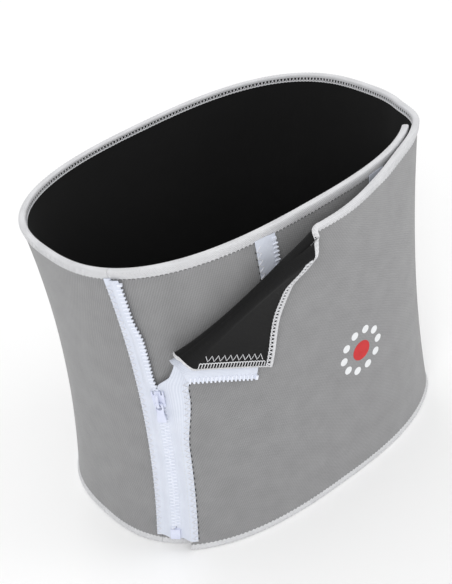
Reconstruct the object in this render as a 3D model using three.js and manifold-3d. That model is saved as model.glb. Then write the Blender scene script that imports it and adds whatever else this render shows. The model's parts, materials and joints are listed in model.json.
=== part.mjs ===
// A zip-front lumbar support belt, as it stands closed around an empty torso.
// Millimetres, +Z up. The front faces -Y and the wearer's left is +X.
//
// The belt is one long neoprene sheet wound in a spiral. It starts as the underlay, under
// the front flap, runs round the wearer's right side, the back and the left side, and comes
// forward again as the outer flap. Three toothed size tapes stand on the underlay, and the
// flap's own tape is closed on the first. The flap's top corner is folded back.
//
// Places on the belt are given as (s, z, d): s is the distance round the waist from the zip
// line towards the wearer's left, z the height and d the depth outward from the torso.

import * as THREE from 'three';
import Module from 'manifold-3d';
import { mergeVertices } from 'three/addons/utils/BufferGeometryUtils.js';

const wasm = await Module();
wasm.setup();

// ---- Driving dimensions --------------------------------------------------------------

const HEIGHT = 280;
const HALF_WIDTH = { bottom: 162, waist: 148, top: 157 };
const HALF_DEPTH = { bottom: 116, waist: 112, top: 106 };
const LEAN = 12;                      // the top ring stands this far forward, the bottom one back
const SQUARENESS = 2.64;              // exponent of the torso's superellipse, 2 is an ellipse
const ZIP_ANGLE = 214.6;              // degrees round the torso, 270 is the middle of the front

const LINING = 0.5;                   // thickness of the black inner cloth
const CORE = 1.9;                     // thickness of the neoprene foam
const FACE = 0.5;                     // thickness of the grey jersey
const GAP = 0.3;                      // clearance between pieces that touch
const LAMINATE = LINING + CORE + FACE + 2 * GAP;
const BINDING = 0.7;                  // thickness of the edge binding
const BINDING_LEG = 9;                // height of each leg of the binding
const EDGE_INSET = BINDING + GAP;     // from the belt's edge to the sheet's edge

const OVERLAP_DEPTH = 7.6;            // depth of the flap where it runs over the underlay
const SEAM = -12;                     // where the underlay is joined to the wrap
const UNDERLAY_END = 262;             // the underlay's hidden end
const OVERLAP_END = { from: 266, to: 306 };   // the wrap sinks back to the torso here
const FLAP_EDGE = 11;                 // the flap's cloth ends here, beside the zip

const TAPE = { thickness: 0.6, sewn: 16, bend: 10.3, flat: 5.5, teeth: 3.5 };
const SIZE_STEP = 105;                // from one size tape to the next
const TOOTH = { pitch: 3.6, length: 1.45, reach: 0.9, root: 2, spine: 3.2, half: 1.1 };
const CHAIN_DEPTH = 7.6;              // depth of the closed chain's middle
const FLAT_TAPE_DEPTH = 4.1;          // depth of a size tape that lies under the flap
const FLAT_TEETH_DEPTH = 5.2;
const CHAIN_BOTTOM = 22;
const STOP_LENGTH = 2.2;

const SLIDER_HEIGHT = 160;            // the slider rests here, above it the zip is open
const SLIDER = { width: 10, length: 16, plate: 1.1, room: 1.6 };
const ROOM_TOP = SLIDER_HEIGHT + SLIDER.length / 2;   // the slider's top
const ASIDE = { most: 10, to: 130 };  // the flap's open edge is drawn aside, less and less up to s = to

const FOLD_START = { s: 8, z: 203 };  // the fold runs from the zip edge ...
const FOLD_END = { s: 124, z: HEIGHT };       // ... to the top edge
const FOLD_RADIUS = 3.5;               // of the rolled cloth, to its middle
const FOLD_ANGLE = 192;               // degrees that the corner is turned back
const AXIS_RISE = 4;                  // of the crease's axis above the cloth's middle at its ends
const CORNER_BOTTOM = 216;            // the corner's lowest row
const GAPE = 17;                      // how far the flap's top edge stands off at the fold

// ---- The torso surface ---------------------------------------------------------------

const radians = THREE.MathUtils.degToRad;
const smooth = (x, from, to) => THREE.MathUtils.smoothstep(x, from, to);

function between(sizes, z) {
  const u = z / HEIGHT;
  return sizes.bottom * (1 - u) * (1 - 2 * u) + 4 * sizes.waist * u * (1 - u) + sizes.top * u * (2 * u - 1);
}

function ringPoint(angle, z) {
  const power = (v) => Math.sign(v) * Math.abs(v) ** (2 / SQUARENESS);
  const x = between(HALF_WIDTH, z) * power(Math.cos(angle));
  const y = between(HALF_DEPTH, z) * power(Math.sin(angle)) - LEAN * (2 * z / HEIGHT - 1);
  return new THREE.Vector3(x, y, z);
}

function ringNormal(angle, z) {
  const step = 0.001;
  const along = ringPoint(angle + step, z).sub(ringPoint(angle - step, z));
  return new THREE.Vector3(along.y, -along.x, 0).normalize();
}

// The waist ring measured out from the zip line: lengths[i] is the distance at angles[i].
const angles = [];
const lengths = [];
{
  const steps = 7200;
  const start = radians(ZIP_ANGLE) - 1;
  const turn = (2 * Math.PI + 2) / steps;
  let length = 0;
  let last = ringPoint(start, HEIGHT / 2);
  for (let i = 0; i <= steps; i += 1) {
    const point = ringPoint(start + i * turn, HEIGHT / 2);
    length += point.distanceTo(last);
    angles.push(start + i * turn);
    lengths.push(length);
    last = point;
  }
}

function lookUp(x, xs, ys) {
  let low = 0;
  let high = xs.length - 1;
  while (high - low > 1) {
    const middle = (low + high) >> 1;
    if (xs[middle] > x) high = middle;
    else low = middle;
  }
  return ys[low] + (ys[high] - ys[low]) * (x - xs[low]) / (xs[high] - xs[low]);
}

const zipLength = lookUp(radians(ZIP_ANGLE), angles, lengths);
const GIRTH = lookUp(radians(ZIP_ANGLE) + 2 * Math.PI, angles, lengths) - zipLength;
const angleAt = (s) => lookUp(s + zipLength, lengths, angles);

function onTorso(s, z, d) {
  const angle = angleAt(s);
  return ringPoint(angle, z).addScaledVector(ringNormal(angle, z), d);
}

// All pieces share one coarse grid, so that neighbouring layers have parallel facets.
// No line of it crosses the zip, whose middle lies flat.
const S_STEP = 24;
const S_FIRST = S_STEP / 2;
const Z_ROWS = [0, 48, 97, 145, 168, 200, 228, 250, 268, HEIGHT];

function onGrid(surface, s, z, d) {
  const s0 = Math.floor((s - S_FIRST) / S_STEP) * S_STEP + S_FIRST;
  let row = 0;
  while (row < Z_ROWS.length - 2 && z > Z_ROWS[row + 1]) row += 1;
  const u = (s - s0) / S_STEP;
  const v = (z - Z_ROWS[row]) / (Z_ROWS[row + 1] - Z_ROWS[row]);
  const low = surface(s0, Z_ROWS[row], d).lerp(surface(s0 + S_STEP, Z_ROWS[row], d), u);
  const high = surface(s0, Z_ROWS[row + 1], d).lerp(surface(s0 + S_STEP, Z_ROWS[row + 1], d), u);
  return low.lerp(high, v);
}

const inner = (s, z, d) => onGrid(onTorso, s, z, d);

// The wrap and the flap: over the underlay they lie deeper out, and the flap gapes at the top.
function gape(s, z) {
  const along = smooth(s, 10, FOLD_END.s) * (1 - smooth(s, 140, 236));
  const up = Math.max(0, (z - 150) / (HEIGHT - 150)) ** 1.6;
  return GAPE * along * up;
}

function outerDepth(s, z) {
  return OVERLAP_DEPTH * (1 - smooth(s, OVERLAP_END.from, OVERLAP_END.to)) + gape(s, z);
}

const aside = (s, z) => ASIDE.most * smooth(z, ROOM_TOP, 200) * (1 - smooth(s, FLAP_EDGE, ASIDE.to));

const outer = (s, z, d) =>
  onGrid((a, b, c) => onTorso(a + aside(a, b), b, c + outerDepth(a, b)), s, z, d);

// ---- The fold ------------------------------------------------------------------------

const foldRun = new THREE.Vector2(FOLD_END.s - FOLD_START.s, FOLD_END.z - FOLD_START.z);
const across = foldRun.length() / foldRun.y;           // s needed for 1 mm square to the fold
const CREASE_OFFSET = Math.PI / 4 * FOLD_RADIUS * across;

function creaseAt(side, z) {
  const t = (z - FOLD_START.z) / foldRun.y;
  return FOLD_START.s + side * CREASE_OFFSET + foldRun.x * t;
}

// The cloth bulges between a crease's ends, so its straight hinge axis stands a little off it.
function creaseAxis(side) {
  const places = [0.2, 0.85].map((t) => FOLD_START.z + foldRun.y * t);
  const [low, high] = places.map((z) => outer(creaseAt(side, z), z, LAMINATE / 2 + AXIS_RISE));
  return { point: low, direction: high.clone().sub(low).normalize() };
}

const lowerCrease = creaseAxis(1);
const upperCrease = creaseAxis(-1);

function turnAbout(axis, degrees) {
  const { x, y, z } = axis.point;
  return new THREE.Matrix4().makeTranslation(x, y, z)
    .multiply(new THREE.Matrix4().makeRotationAxis(axis.direction, radians(degrees)))
    .multiply(new THREE.Matrix4().makeTranslation(-x, -y, -z));
}

// The fold and the corner are drawn as they lie on the shut flap, then turned to their rest.
const foldTurn = turnAbout(lowerCrease, FOLD_ANGLE / 2);
const cornerTurn = foldTurn.clone().multiply(turnAbout(upperCrease, FOLD_ANGLE / 2));

// ---- Solids --------------------------------------------------------------------------

function solid(points, triangles) {
  let volume = 0;
  for (const [a, b, c] of triangles) {
    volume += points[a].dot(new THREE.Vector3().crossVectors(points[b], points[c]));
  }
  const index = triangles.flatMap(([a, b, c]) => (volume < 0 ? [a, c, b] : [a, b, c]));
  const geometry = new THREE.BufferGeometry();
  geometry.setAttribute('position', new THREE.Float32BufferAttribute(points.flatMap((p) => p.toArray()), 3));
  geometry.setIndex(index);
  geometry.computeVertexNormals();
  return geometry;
}

// A layer of cloth: rows of [s, z] places, between two depths of a surface.
function layer(surface, rows, near, far) {
  const points = [];
  const wide = rows[0].length;
  const tall = rows.length;
  for (const depth of [near, far]) {
    for (const row of rows) {
      for (const [s, z] of row) points.push(surface(s, z, depth));
    }
  }
  const at = (side, j, i) => side * wide * tall + j * wide + i;
  const triangles = [];
  const quad = (a, b, c, d) => triangles.push([a, b, c], [a, c, d]);
  for (let j = 0; j < tall - 1; j += 1) {
    for (let i = 0; i < wide - 1; i += 1) {
      quad(at(0, j, i), at(0, j, i + 1), at(0, j + 1, i + 1), at(0, j + 1, i));
      quad(at(1, j, i), at(1, j + 1, i), at(1, j + 1, i + 1), at(1, j, i + 1));
    }
  }
  for (let j = 0; j < tall - 1; j += 1) {
    quad(at(0, j, 0), at(0, j + 1, 0), at(1, j + 1, 0), at(1, j, 0));
    quad(at(0, j, wide - 1), at(1, j, wide - 1), at(1, j + 1, wide - 1), at(0, j + 1, wide - 1));
  }
  for (let i = 0; i < wide - 1; i += 1) {
    quad(at(0, 0, i), at(1, 0, i), at(1, 0, i + 1), at(0, 0, i + 1));
    quad(at(0, tall - 1, i), at(0, tall - 1, i + 1), at(1, tall - 1, i + 1), at(1, tall - 1, i));
  }
  return solid(points, triangles);
}

// A closed section swept through stations: place(corner, station) gives each point.
function sweep(section, stations, place, endTriangles) {
  const count = section.length;
  const points = stations.flatMap((station) => section.map((corner) => place(corner, station)));
  const triangles = [];
  for (let k = 0; k < stations.length - 1; k += 1) {
    for (let i = 0; i < count; i += 1) {
      const a = k * count + i;
      const b = k * count + (i + 1) % count;
      triangles.push([a, b, b + count], [a, b + count, a + count]);
    }
  }
  const flat = section.map(([x, y]) => new THREE.Vector2(x, y));
  const last = (stations.length - 1) * count;
  for (const corners of endTriangles ?? THREE.ShapeUtils.triangulateShape(flat, [])) {
    const sameWay = THREE.ShapeUtils.area(corners.map((i) => flat[i])) * THREE.ShapeUtils.area(flat) > 0;
    const [a, b, c] = sameWay ? corners : [...corners].reverse();
    triangles.push([a, c, b], [last + a, last + b, last + c]);
  }
  return solid(points, triangles);
}

function toManifold(geometry) {
  const bare = geometry.clone();
  bare.deleteAttribute('normal');
  bare.deleteAttribute('uv');
  const merged = mergeVertices(bare, 1e-5);
  const vertProperties = new Float32Array(merged.attributes.position.array);
  const triVerts = new Uint32Array(merged.index.array);
  return new wasm.Manifold(new wasm.Mesh({ numProp: 3, vertProperties, triVerts }));
}

function fromManifold(manifold) {
  const mesh = manifold.getMesh();
  const geometry = new THREE.BufferGeometry();
  geometry.setAttribute('position', new THREE.Float32BufferAttribute(mesh.vertProperties, 3));
  geometry.setIndex(new THREE.Uint32BufferAttribute(mesh.triVerts, 1));
  geometry.computeVertexNormals();
  return geometry;
}

const joined = (geometries) =>
  fromManifold(geometries.map(toManifold).reduce((sum, next) => sum.add(next)));
const without = (geometry, tool) => fromManifold(toManifold(geometry).subtract(toManifold(tool)));
const within = (geometry, tool) => fromManifold(toManifold(geometry).intersect(toManifold(tool)));

// Places from one s to another, stopping at every line of the shared grid.
function alongWaist(from, to) {
  const places = [from];
  const first = Math.ceil((from + 1 - S_FIRST) / S_STEP) * S_STEP + S_FIRST;
  for (let s = first; s < to - 1; s += S_STEP) places.push(s);
  places.push(to);
  return places;
}

function upHeight(from, to) {
  return [from, ...Z_ROWS.filter((z) => z > from + 1 && z < to - 1), to];
}

// ---- Materials -----------------------------------------------------------------------

const material = (color, roughness, metalness = 0) =>
  new THREE.MeshStandardMaterial({ color, roughness, metalness, flatShading: true });

const materials = {
  jersey: material(0x8f8f8f, 0.9),
  foam: material(0x2b2b2b, 0.95),
  lining: material(0x1d1d1d, 0.9),
  binding: material(0xe4e4e6, 0.85),
  tape: material(0xdfe4ee, 0.8),
  teeth: material(0xeef1f6, 0.4),
  enamel: material(0xdde2f0, 0.35, 0.2),
};

const belt = new THREE.Group();

function add(name, geometry, kind) {
  const mesh = new THREE.Mesh(geometry, materials[kind]);
  mesh.name = name;
  belt.add(mesh);
}

// ---- Cloth ---------------------------------------------------------------------------

const SHEET_BOTTOM = EDGE_INSET;
const SHEET_TOP = HEIGHT - EDGE_INSET;

const whole = (geometry) => geometry;

function addLaminate(name, surface, rows, trim = whole) {
  const coreNear = LINING + GAP;
  const faceNear = coreNear + CORE + GAP;
  add(`${name}_lining`, trim(layer(surface, rows, 0, LINING)), 'lining');
  add(`${name}_core`, trim(layer(surface, rows, coreNear, coreNear + CORE)), 'foam');
  add(`${name}_face`, trim(layer(surface, rows, faceNear, LAMINATE)), 'jersey');
}

// The binding is a U over the sheet's edge: corners are [depth, distance from the edge].
const bindingSection = [
  [-EDGE_INSET, BINDING_LEG], [-EDGE_INSET, 0],
  [LAMINATE + EDGE_INSET, 0], [LAMINATE + EDGE_INSET, BINDING_LEG],
  [LAMINATE + GAP, BINDING_LEG], [LAMINATE + GAP, BINDING],
  [-GAP, BINDING], [-GAP, BINDING_LEG],
];

function topBinding(surface, stations) {
  return sweep(bindingSection, stations, ([d, drop], s) => surface(s, HEIGHT - drop, d));
}

function bottomBinding(surface, stations) {
  return sweep(bindingSection, stations, ([d, rise], s) => surface(s, rise, d));
}

// A tool that is deeper than the cloth, over the places from left(z) to right(z).
function wedge(bottom, left, right) {
  const rows = upHeight(bottom, HEIGHT + 6).map((z) =>
    [0, 1, 2, 3, 4, 5, 6, 7, 8].map((i) => [left(z) + (right(z) - left(z)) * i / 8, z]));
  return layer(outer, rows, -5, LAMINATE + 5);
}

const clothRows = (bottom, left, right) =>
  upHeight(bottom, SHEET_TOP).map((z) => alongWaist(left, right).map((s) => [s, z]));

// The wrap, from the flap's attached edge round to the seam.
const creaseGap = 2.2 * across;
const heightOfCrease = (side, s) =>
  FOLD_START.z + foldRun.y * (s - FOLD_START.s - side * CREASE_OFFSET) / foldRun.x;
const wrapEnd = GIRTH + SEAM - GAP;
const beyondFold = wedge(
  heightOfCrease(1, FLAP_EDGE - creaseGap - 4), () => FLAP_EDGE - 4.5, (z) => creaseAt(1, z) + creaseGap);
const besideFold = (geometry) => without(geometry, beyondFold);
addLaminate('wrap', outer, clothRows(SHEET_BOTTOM, FLAP_EDGE, wrapEnd), besideFold);
add('wrap_top_binding', besideFold(topBinding(outer, alongWaist(FLAP_EDGE, wrapEnd))), 'binding');
add('wrap_bottom_binding', bottomBinding(outer, alongWaist(FLAP_EDGE, wrapEnd)), 'binding');

// The underlay, from the seam to its hidden end.
addLaminate('underlay', inner, clothRows(SHEET_BOTTOM, SEAM, UNDERLAY_END - EDGE_INSET));
const bindingEnd = UNDERLAY_END - BINDING_LEG - GAP;
add('underlay_top_binding', topBinding(inner, alongWaist(SEAM, bindingEnd)), 'binding');
add('underlay_bottom_binding', bottomBinding(inner, alongWaist(SEAM, bindingEnd)), 'binding');
add('underlay_end_binding', sweep(
  bindingSection, upHeight(0, HEIGHT), ([d, back], z) => inner(UNDERLAY_END - back, z, d)), 'binding');

// The strip that rolls over, between the two creases, and the corner beyond it.
const foldWedge = wedge(
  CORNER_BOTTOM, (z) => creaseAt(-1, z) + creaseGap + 0.3, (z) => creaseAt(1, z) - creaseGap - 0.3);
const cornerWedge = wedge(CORNER_BOTTOM + 3, () => FLAP_EDGE - 4, (z) => creaseAt(-1, z) - creaseGap);
const cornerPatch = clothRows(CORNER_BOTTOM - 13, FLAP_EDGE, S_FIRST + 6 * S_STEP);
const cornerEdge = topBinding(outer, alongWaist(FLAP_EDGE, S_FIRST + 6 * S_STEP));
const toFold = (geometry) => within(geometry, foldWedge).applyMatrix4(foldTurn);
const toCorner = (geometry) => within(geometry, cornerWedge).applyMatrix4(cornerTurn);
addLaminate('fold', outer, cornerPatch, toFold);
add('fold_binding', toFold(cornerEdge), 'binding');
addLaminate('corner', outer, cornerPatch, toCorner);
add('corner_binding', toCorner(cornerEdge), 'binding');

// ---- Zip tapes and teeth -------------------------------------------------------------

const TAPE_BOTTOM = BINDING_LEG + GAP;
const TAPE_TOP = HEIGHT - BINDING_LEG - GAP;

// Above the slider the first tape's teeth stand aside.
const parted = (z) => -3 * smooth(z, ROOM_TOP - 3, ROOM_TOP + 12);

// A tape's section, a thin strip along [s, depth] points. side is -1 for a size tape, which
// is sewn on its left, and 1 for the flap's tape, which is sewn on its right.
function tapeSection(side, line) {
  const half = TAPE.thickness / 2;
  const low = line.map(([s, d]) => [side * s, d - half]);
  const high = line.map(([s, d]) => [side * s, d + half]).reverse();
  return [...low, ...high];
}

const proudLine = [
  [TAPE.sewn, FLAT_TAPE_DEPTH], [S_FIRST, FLAT_TAPE_DEPTH], [TAPE.bend + 1, FLAT_TAPE_DEPTH],
  [TAPE.flat, CHAIN_DEPTH], [TAPE.teeth, CHAIN_DEPTH],
];
const flatLine = [
  [TAPE.sewn, FLAT_TAPE_DEPTH], [S_FIRST, FLAT_TAPE_DEPTH], [TAPE.flat + 2, FLAT_TAPE_DEPTH], [TAPE.teeth, FLAT_TEETH_DEPTH],
];
const FLAP_TAPE_DEPTH = LAMINATE + GAP + TAPE.thickness / 2;
const flapLine = [
  [TAPE.sewn, FLAP_TAPE_DEPTH], [S_FIRST, FLAP_TAPE_DEPTH], [TAPE.bend, FLAP_TAPE_DEPTH],
  [TAPE.flat, CHAIN_DEPTH - OVERLAP_DEPTH], [TAPE.teeth, CHAIN_DEPTH - OVERLAP_DEPTH],
];

// A row of moulded teeth: a comb in s and z, as thick as the teeth, on one spine. Its broad
// faces are cut up tooth by tooth, so that they follow the bowed zip line.
function toothRow(side, from, to, offset, place) {
  const count = Math.floor((to - from - offset - TOOTH.length) / TOOTH.pitch) + 1;
  const low = (k) => from + offset + k * TOOTH.pitch;
  const comb = [[side * TOOTH.spine, from]];
  for (let k = 0; k < count; k += 1) {
    const high = low(k) + TOOTH.length;
    comb.push([side * TOOTH.root, low(k)], [-side * TOOTH.reach, low(k)]);
    comb.push([-side * TOOTH.reach, high], [side * TOOTH.root, high]);
  }
  comb.push([side * TOOTH.spine, to]);
  const end = comb.length - 1;
  for (let k = count - 1; k > 0; k -= 1) comb.push([side * TOOTH.spine, low(k)]);
  const spine = (k) => (k === 0 ? 0 : end + count - k);
  const triangles = [];
  for (let k = 0; k < count; k += 1) {
    const [root, tip, tipEnd, rootEnd] = [1, 2, 3, 4].map((i) => i + 4 * k);
    triangles.push([spine(k), root, rootEnd], [spine(k), rootEnd, spine(k + 1)]);
    triangles.push([root, tip, tipEnd], [root, tipEnd, rootEnd]);
    if (k < count - 1) triangles.push([spine(k + 1), rootEnd, rootEnd + 1]);
  }
  return sweep(comb, [-TOOTH.half, TOOTH.half], ([s, z], d) => place(s, z, d), triangles);
}

const block = (s0, s1, z0, z1, d0, d1, place) => layer(place, [
  [[s0, z0], [s1, z0]], [[s0, z1], [s1, z1]]], d0, d1);

for (const size of [1, 2, 3]) {
  const line = (size - 1) * SIZE_STEP;
  const proud = size === 1;
  const depth = proud ? CHAIN_DEPTH : FLAT_TEETH_DEPTH;
  const place = (s, z, d) => inner(line + s + (proud ? parted(z) * smooth(s, -11, -6) : 0), z, d);
  const rows = proud
    ? [...upHeight(TAPE_BOTTOM, ROOM_TOP - 3), ROOM_TOP + 4, ROOM_TOP + 12, ...upHeight(200, TAPE_TOP)]
    : upHeight(TAPE_BOTTOM, TAPE_TOP);
  const section = tapeSection(-1, proud ? proudLine : flatLine);
  add(`size_tape_${size}`, sweep(section, rows, ([s, d], z) => place(s, z, d)), 'tape');
  const atTeeth = (s, z, d) => place(s, z, depth + d);
  const teethTop = TAPE_TOP - STOP_LENGTH - GAP;
  add(`size_teeth_${size}`, toothRow(-1, CHAIN_BOTTOM, teethTop, 1, atTeeth), 'teeth');
  const stop = block(-TOOTH.spine, TOOTH.reach - 1, teethTop + GAP, TAPE_TOP, -TOOTH.half, TOOTH.half, atTeeth);
  add(`size_top_stop_${size}`, stop, 'teeth');
  const pin = block(-TOOTH.spine, -1, TAPE_BOTTOM, CHAIN_BOTTOM - GAP, -TOOTH.half, TOOTH.half, atTeeth);
  add(`size_pin_${size}`, pin, 'teeth');
}

// The flap's tape, closed on the first size tape up to the slider.
const chainPlace = (s, z, d) => outer(s, z, CHAIN_DEPTH - OVERLAP_DEPTH + d);
const LOWER_TAPE_TOP = ROOM_TOP + 6;
add('flap_tape', sweep(
  tapeSection(1, flapLine), upHeight(TAPE_BOTTOM, LOWER_TAPE_TOP), ([s, d], z) => outer(s, z, d)), 'tape');
add('flap_teeth', toothRow(
  1, CHAIN_BOTTOM, ROOM_TOP - 3, 1 + TOOTH.pitch / 2, chainPlace), 'teeth');
const boxSection = [
  [-3.9, -2.2], [3.2, -2.2], [3.2, 2.2], [-3.9, 2.2], [-3.9, 1.5], [-0.6, 1.5], [-0.6, -1.5], [-3.9, -1.5],
];
add('retainer_box', sweep(
  boxSection, [TAPE_BOTTOM + 0.5, CHAIN_BOTTOM - 2], ([s, d], z) => inner(s, z, CHAIN_DEPTH + d)), 'enamel');

// The same tape on the corner, carried round with it.
const cornerTapeLine = flapLine.map(([s, d]) => [s, s > TAPE.flat ? FLAP_TAPE_DEPTH : FLAP_TAPE_DEPTH - 0.4]);
const upperRows = upHeight(CORNER_BOTTOM + 6, TAPE_TOP);
const cornerTape = sweep(tapeSection(1, cornerTapeLine), upperRows, ([s, d], z) => outer(s, z, d));
add('corner_tape', cornerTape.applyMatrix4(cornerTurn), 'tape');
const cornerTeethPlace = (s, z, d) => outer(s, z, FLAP_TAPE_DEPTH - 0.4 + d);
const cornerTeethTop = TAPE_TOP - STOP_LENGTH - GAP;
const cornerRow = toothRow(1, CORNER_BOTTOM + 6, cornerTeethTop, 1 + TOOTH.pitch / 2, cornerTeethPlace);
const cornerStop = block(
  1 - TOOTH.reach, TOOTH.spine, cornerTeethTop + GAP, TAPE_TOP, -TOOTH.half, TOOTH.half, cornerTeethPlace);
add('corner_teeth', cornerRow.applyMatrix4(cornerTurn), 'teeth');
add('corner_top_stop', cornerStop.applyMatrix4(cornerTurn), 'teeth');

// ---- Slider --------------------------------------------------------------------------

// The zip line is bowed at the waist, so the slider runs on an arc about a far axis.
const track = [CHAIN_BOTTOM + 10, (CHAIN_BOTTOM + 10 + SLIDER_HEIGHT) / 2, SLIDER_HEIGHT]
  .map((z) => inner(0, z, CHAIN_DEPTH));
const trackPlane = new THREE.Vector3()
  .crossVectors(track[1].clone().sub(track[0]), track[2].clone().sub(track[0]))
  .normalize();
const centre = (() => {
  const a = track[1].clone().sub(track[0]);
  const b = track[2].clone().sub(track[0]);
  const normal = new THREE.Vector3().crossVectors(a, b);
  const left = new THREE.Vector3().crossVectors(normal, a).multiplyScalar(b.lengthSq());
  const right = new THREE.Vector3().crossVectors(b, normal).multiplyScalar(a.lengthSq());
  return left.add(right).divideScalar(2 * normal.lengthSq()).add(track[0]);
})();

const sliderUp = new THREE.Vector3().crossVectors(trackPlane, track[2].clone().sub(centre)).normalize();
if (sliderUp.z < 0) sliderUp.negate();
const [chainLeft, chainRight] = [-3, 3].map((s) => inner(s, SLIDER_HEIGHT, CHAIN_DEPTH));
const sliderOut = new THREE.Vector3().crossVectors(chainRight.sub(chainLeft), sliderUp).normalize();
const sliderSide = new THREE.Vector3().crossVectors(sliderUp, sliderOut);
const sliderFrame = new THREE.Matrix4()
  .makeBasis(sliderSide, sliderUp, sliderOut)
  .setPosition(track[2]);

// Boxes and outlines in the slider's own frame: side, up and out.
function sliderBox(side, up, out) {
  const size = [side, up, out].map(([low, high]) => high - low);
  const middle = [side, up, out].map(([low, high]) => (high + low) / 2);
  return new THREE.BoxGeometry(...size).translate(...middle);
}

function outline(points, holes = []) {
  const shape = new THREE.Shape(points.map(([x, y]) => new THREE.Vector2(x, y)));
  shape.holes = holes.map((hole) => new THREE.Path(hole.map(([x, y]) => new THREE.Vector2(x, y))));
  return shape;
}

const halfWide = SLIDER.width / 2;
const halfLong = SLIDER.length / 2;
const plateTop = SLIDER.room + SLIDER.plate;
const RAIL = 0.8;
const RAIL_EDGE = 0.9;                // the rails leave this much on each side for the tape

function sliderPlate(sign) {
  const span = (a, b) => (sign > 0 ? [a, b] : [-b, -a]);
  const plate = sliderBox([-halfWide, halfWide], [-halfLong, halfLong], span(SLIDER.room, plateTop));
  const rails = [-1, 1].map((hand) => {
    const side = hand > 0 ? [halfWide - RAIL, halfWide] : [-halfWide, RAIL - halfWide];
    return sliderBox(side, [-halfLong, 2], span(RAIL_EDGE, SLIDER.room + 0.1));
  });
  return [plate, ...rails];
}

// The bridge is an arch that the pull's eye hangs in: outline in up and out.
const BRIDGE = { half: 1.7, foot: 6, top: 6.4, inside: 4.8, roof: 5.2 };
function bridge() {
  const { foot, top, inside, roof, half } = BRIDGE;
  const sill = plateTop - 0.1;
  const arch = outline([
    [-foot, sill], [-foot, roof], [1.4 - foot, top], [foot - 1.4, top], [foot, roof], [foot, sill],
    [inside, sill], [inside, roof - 0.5], [inside - 0.7, roof], [0.7 - inside, roof],
    [-inside, roof - 0.5], [-inside, sill],
  ]);
  const geometry = new THREE.ExtrudeGeometry(arch, { depth: 2 * half, bevelEnabled: false });
  // the outline's x runs up the slider, its y outward and its depth sideways
  const turn = new THREE.Matrix4().makeBasis(
    new THREE.Vector3(0, 1, 0), new THREE.Vector3(0, 0, 1), new THREE.Vector3(1, 0, 0));
  return geometry.applyMatrix4(turn).translate(-half, 0, 0);
}

add('slider_body', joined([...sliderPlate(1), bridge()]).applyMatrix4(sliderFrame), 'enamel');
add('slider_lower_plate', joined(sliderPlate(-1)).applyMatrix4(sliderFrame), 'enamel');

// The pull: an eye round the bridge's lower foot, and a tab that flares at its end.
const PULL = { near: 3.3, far: 4.5, bar: -2.5, eye: [-3.9, -8.6], end: -22 };
const pullOutline = outline(
  [[-3.2, PULL.bar], [-3.2, -9.8], [-2.6, -11.5], [-3.6, PULL.end + 1], [-3, PULL.end],
    [3, PULL.end], [3.6, PULL.end + 1], [2.6, -11.5], [3.2, -9.8], [3.2, PULL.bar]],
  [[[-2.1, PULL.eye[0]], [2.1, PULL.eye[0]], [2.1, PULL.eye[1]], [-2.1, PULL.eye[1]]]],
);
const pull = new THREE.ExtrudeGeometry(pullOutline, { depth: PULL.far - PULL.near, bevelEnabled: false });
add('pull_tab', pull.translate(0, 0, PULL.near).applyMatrix4(sliderFrame), 'enamel');

// ---- Place the belt and note its joints ----------------------------------------------

const bounds = new THREE.Box3().setFromObject(belt);
const middle = bounds.getCenter(new THREE.Vector3());
belt.position.set(-middle.x, -middle.y, -bounds.min.z);

const inBelt = (point) => point.clone().add(belt.position);
const pullPivot = new THREE.Vector3(0, (PULL.bar + PULL.eye[0]) / 2, (PULL.near + PULL.far) / 2);
belt.userData.joints = {
  fold_hinge: { point: inBelt(lowerCrease.point), axis: lowerCrease.direction },
  corner_hinge: {
    point: inBelt(upperCrease.point.clone().applyMatrix4(foldTurn)),
    axis: upperCrease.direction.clone().transformDirection(foldTurn),
  },
  slider_track: { point: inBelt(centre), axis: trackPlane },
  pull_hinge: { point: inBelt(pullPivot.applyMatrix4(sliderFrame)), axis: sliderSide },
};

export default belt;
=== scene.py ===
"""The looks of a zip-front lumbar support belt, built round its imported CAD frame.

The belt is a neoprene sheet wound in a spiral round an empty torso: underlay, back, flap.
Places on it are (s, z, d): s runs round the waist from the zip line towards the wearer's
left, z is the height and d the depth outward from the torso, all in millimetres. The flap's
top corner is folded back, so its places are turned about the two crease axes of the frame.
"""

import json
import math

import bmesh
import bpy
import numpy as np
from mathutils import Matrix, Vector


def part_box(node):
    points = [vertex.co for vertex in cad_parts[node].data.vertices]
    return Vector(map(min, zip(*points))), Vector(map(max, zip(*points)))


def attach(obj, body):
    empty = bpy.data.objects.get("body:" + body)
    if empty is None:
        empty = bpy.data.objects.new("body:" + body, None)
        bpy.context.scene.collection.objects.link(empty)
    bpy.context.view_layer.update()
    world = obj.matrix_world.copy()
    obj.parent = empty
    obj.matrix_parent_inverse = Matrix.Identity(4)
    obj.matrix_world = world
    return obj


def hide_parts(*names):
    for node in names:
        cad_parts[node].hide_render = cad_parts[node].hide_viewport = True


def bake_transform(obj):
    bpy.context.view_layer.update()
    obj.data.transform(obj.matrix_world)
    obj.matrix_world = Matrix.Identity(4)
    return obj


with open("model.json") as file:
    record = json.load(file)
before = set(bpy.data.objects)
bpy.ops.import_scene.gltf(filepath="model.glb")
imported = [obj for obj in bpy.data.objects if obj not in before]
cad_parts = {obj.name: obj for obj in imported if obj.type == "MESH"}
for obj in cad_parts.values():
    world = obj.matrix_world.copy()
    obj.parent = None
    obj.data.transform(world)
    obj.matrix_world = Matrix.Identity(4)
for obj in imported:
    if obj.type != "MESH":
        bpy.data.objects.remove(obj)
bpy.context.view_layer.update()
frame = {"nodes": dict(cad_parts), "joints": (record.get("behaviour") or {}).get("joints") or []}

MM = 0.001
joints = {joint["name"]: joint for joint in frame["joints"]}

# ---- Measures ------------------------------------------------------------------------

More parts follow.
